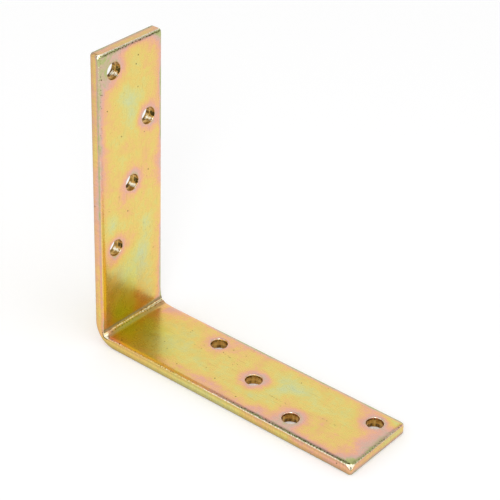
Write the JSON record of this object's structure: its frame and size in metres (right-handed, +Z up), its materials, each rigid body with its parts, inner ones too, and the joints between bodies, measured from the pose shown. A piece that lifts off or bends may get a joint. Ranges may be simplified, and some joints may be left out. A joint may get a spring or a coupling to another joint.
{
  "type": "angle bracket",
  "caption": "Heavy steel angle bracket folded from flat bar, with equal arms and staggered screw holes along each arm, yellow zinc plated.",
  "frame": {"origin": "under the middle of the bracket's box, on the surface that it stands on", "axes": "+Z up along the upright arm, +X from the fold to the toe of the lying arm, Y across the width of the bar"},
  "size_m": [0.15, 0.0406, 0.15],
  "materials": {
    "yellow_zinc": "semi-gloss yellow chromate over zinc, with pink and green tints"
  },
  "bodies": {
    "root": {"angle_bracket": "yellow_zinc"}
  },
  "joints": []
}
